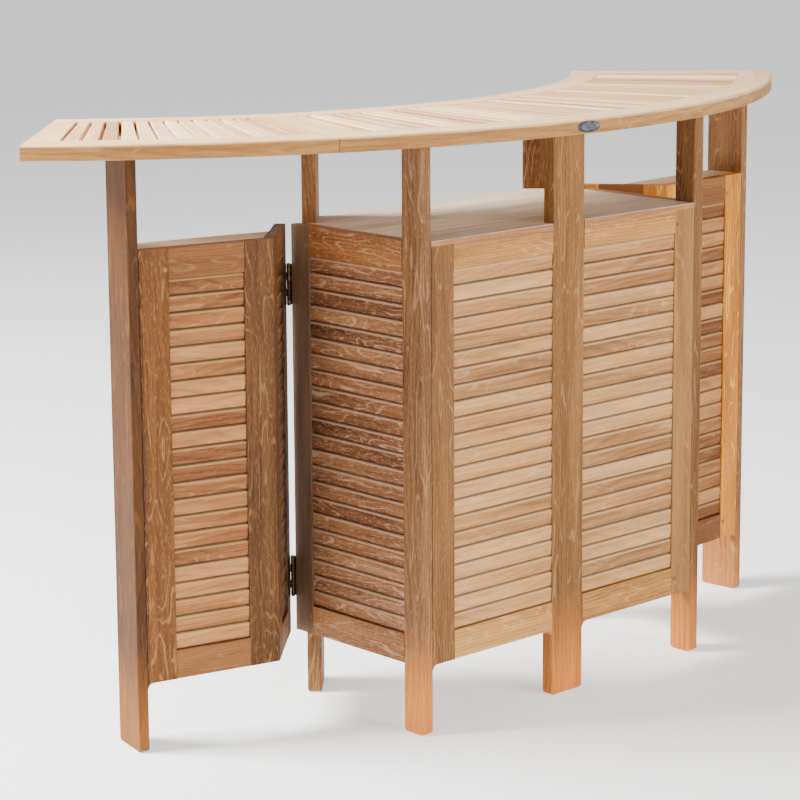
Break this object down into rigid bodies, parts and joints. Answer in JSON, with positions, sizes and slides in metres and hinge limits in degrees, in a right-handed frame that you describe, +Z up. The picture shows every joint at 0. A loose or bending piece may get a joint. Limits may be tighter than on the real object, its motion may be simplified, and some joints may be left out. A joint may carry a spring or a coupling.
{
  "type": "garden bar",
  "caption": "Curved slatted teak garden bar on a louvred cabinet, with an open shelf, two hinged louvred wings on their own legs and lift-off top sections",
  "frame": {"origin": "on the floor under the middle of the top's outline", "axes": "+X along the bar to the right seen from the customer's side, +Y from the customer's side to the keeper's side, +Z up"},
  "size_m": [1.9744, 0.7096, 1.1],
  "materials": {
    "teak_front": "oiled teak, light tan, straight grain up the legs and along the louvres",
    "teak_side": "oiled teak, darker red-brown side frames and inner faces",
    "teak_top": "bleached pale teak with eased edges",
    "teak_shelf": "pale grey-beige teak boards",
    "aged_brass": "dark aged brass hinges and screws",
    "badge_metal": "brushed pewter, blank"
  },
  "bodies": {
    "cabinet": {"cabinet_hinge_leaves": "aged_brass", "cabinet_hinge_screws": "aged_brass", "centre_post": "teak_front", "frame_plugs": "teak_front", "front_left_leg": "teak_front", "front_left_louvres": "teak_front", "front_rails": "teak_front", "front_right_leg": "teak_front", "front_right_louvres": "teak_front", "front_stiles": "teak_front", "hinge_pins": "aged_brass", "left_rear_stile": "teak_side", "left_side_louvres": "teak_side", "left_side_rails": "teak_side", "locating_dowels": "teak_side", "rear_left_leg": "teak_side", "rear_right_leg": "teak_side", "right_rear_stile": "teak_side", "right_side_louvres": "teak_side", "right_side_rails": "teak_side", "shelf_bearers": "teak_side", "shelf_boards": "teak_shelf"},
    "left_wing": {"left_wing_hinge_leaves": "aged_brass", "left_wing_hinge_screws": "aged_brass", "left_wing_hinge_stile": "teak_front", "left_wing_kink_stiles": "teak_front", "left_wing_ledge": "teak_shelf", "left_wing_leg": "teak_front", "left_wing_narrow_louvres": "teak_front", "left_wing_outer_stile": "teak_front", "left_wing_plugs": "teak_front", "left_wing_rails": "teak_front", "left_wing_wide_louvres": "teak_front"},
    "right_wing": {"right_wing_hinge_leaves": "aged_brass", "right_wing_hinge_screws": "aged_brass", "right_wing_hinge_stile": "teak_front", "right_wing_kink_stiles": "teak_front", "right_wing_ledge": "teak_shelf", "right_wing_leg": "teak_front", "right_wing_narrow_louvres": "teak_front", "right_wing_outer_stile": "teak_front", "right_wing_plugs": "teak_front", "right_wing_rails": "teak_front", "right_wing_wide_louvres": "teak_front"},
    "centre_top": {"centre_top_end_boards": "teak_top", "centre_top_inner_rail": "teak_top", "centre_top_outer_rail": "teak_top", "centre_top_slats": "teak_top", "section_cleats": "teak_side", "cleat_pins": "teak_side", "badge_plate": "badge_metal"},
    "left_top": {"left_top_end_boards": "teak_top", "left_top_inner_rail": "teak_top", "left_top_outer_rail": "teak_top", "left_top_slats": "teak_top"},
    "right_top": {"right_top_end_boards": "teak_top", "right_top_inner_rail": "teak_top", "right_top_outer_rail": "teak_top", "right_top_slats": "teak_top"}
  },
  "joints": [
    {"name": "left_wing_hinge", "type": "hinge", "parent": "cabinet", "child": "left_wing", "pos_m": [-0.3835, 0.06259, 0.512], "axis": [0, 0, 1], "range_deg": [-125, 44]},
    {"name": "right_wing_hinge", "type": "hinge", "parent": "cabinet", "child": "right_wing", "pos_m": [0.3835, 0.06259, 0.512], "axis": [0, 0, 1], "range_deg": [-36, 133]},
    {"name": "centre_top_lift", "type": "slide", "parent": "cabinet", "child": "centre_top", "axis": [0, 0, 1], "range_m": [0, 0.15]},
    {"name": "left_top_lift", "type": "slide", "parent": "centre_top", "child": "left_top", "axis": [0, 0, 1], "range_m": [0, 0.1]},
    {"name": "right_top_lift", "type": "slide", "parent": "centre_top", "child": "right_top", "axis": [0, 0, 1], "range_m": [0, 0.1]}
  ]
}
